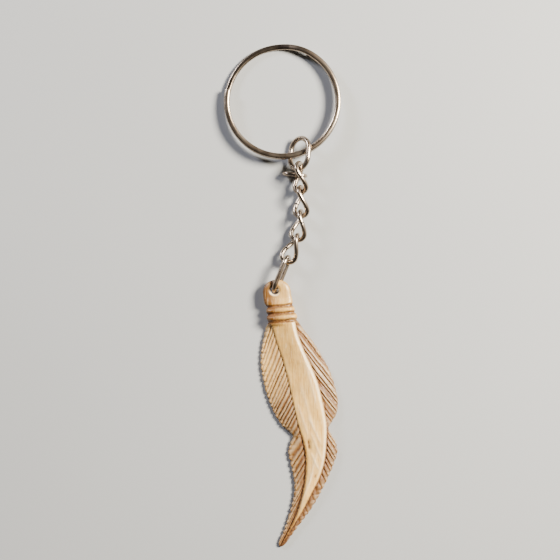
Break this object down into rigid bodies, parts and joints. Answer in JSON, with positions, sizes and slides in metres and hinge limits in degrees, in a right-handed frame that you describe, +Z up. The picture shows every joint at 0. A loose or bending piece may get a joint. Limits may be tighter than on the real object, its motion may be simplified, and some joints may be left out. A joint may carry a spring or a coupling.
{
  "type": "keychain",
  "caption": "Carved feather pendant on a short twisted-link chain with a split key ring, lying flat; every link swings or folds on the next.",
  "frame": {"origin": "on the feather's flat back, at the middle of its neck, on the surface that the keychain lies on", "axes": "+Z up from the feather's flat back, +Y from the feather's neck along the chain to the split ring, +X across the feather to its wider vane"},
  "size_m": [0.03, 0.1297, 0.0062],
  "materials": {
    "nickel_plated_steel": "bright nickel plating on steel wire, lightly worn",
    "carved_bone": "carved and polished bone with brown stain in the cuts"
  },
  "bodies": {
    "feather": {"feather": "carved_bone"},
    "end_link": {"end_link": "nickel_plated_steel"},
    "curb_link_4": {"curb_link_4": "nickel_plated_steel"},
    "curb_link_3": {"curb_link_3": "nickel_plated_steel"},
    "curb_link_2": {"curb_link_2": "nickel_plated_steel"},
    "curb_link_1": {"curb_link_1": "nickel_plated_steel"},
    "jump_ring": {"jump_ring": "nickel_plated_steel"},
    "oval_link": {"oval_link": "nickel_plated_steel"},
    "split_ring": {"split_ring": "nickel_plated_steel"}
  },
  "joints": [
    {"name": "end_link_swing", "type": "hinge", "parent": "feather", "child": "end_link", "pos_m": [-0.0016, 0.0062, 0.0026], "axis": [0, 0, 1], "range_deg": [-60, 60]},
    {"name": "curb_link_4_fold", "type": "hinge", "parent": "end_link", "child": "curb_link_4", "pos_m": [0.00131, 0.01348, 0.0026], "axis": [0.9155, -0.3886, 0.1045], "range_deg": [-45, 45]},
    {"name": "curb_link_3_swing", "type": "hinge", "parent": "curb_link_4", "child": "curb_link_3", "pos_m": [0.00425, 0.02038, 0.0026], "axis": [-0.0962, 0.0408, 0.9945], "range_deg": [-30, 30]},
    {"name": "curb_link_2_fold", "type": "hinge", "parent": "curb_link_3", "child": "curb_link_2", "pos_m": [0.00514, 0.02514, 0.0026], "axis": [-0.9276, 0.0019, -0.3737], "range_deg": [-45, 45]},
    {"name": "curb_link_1_swing", "type": "hinge", "parent": "curb_link_2", "child": "curb_link_1", "pos_m": [0.00494, 0.03262, 0.00312], "axis": [0.3728, 0.0745, -0.9249], "range_deg": [-30, 30]},
    {"name": "oval_link_fold", "type": "hinge", "parent": "curb_link_1", "child": "oval_link", "pos_m": [0.00441, 0.03719, 0.00386], "axis": [0.7243, 0.0463, 0.6879], "range_deg": [-40, 40]},
    {"name": "ring_swing", "type": "hinge", "parent": "oval_link", "child": "split_ring", "pos_m": [0.00469, 0.04119, 0.0033], "axis": [0.9511, 0.309, 0], "range_deg": [-60, 90]},
    {"name": "jump_ring_turn", "type": "hinge", "parent": "curb_link_1", "child": "jump_ring", "pos_m": [0.0046, 0.03589, 0.00176], "axis": [0.0691, -0.9879, -0.1392], "range_deg": [-20, 20]}
  ]
}
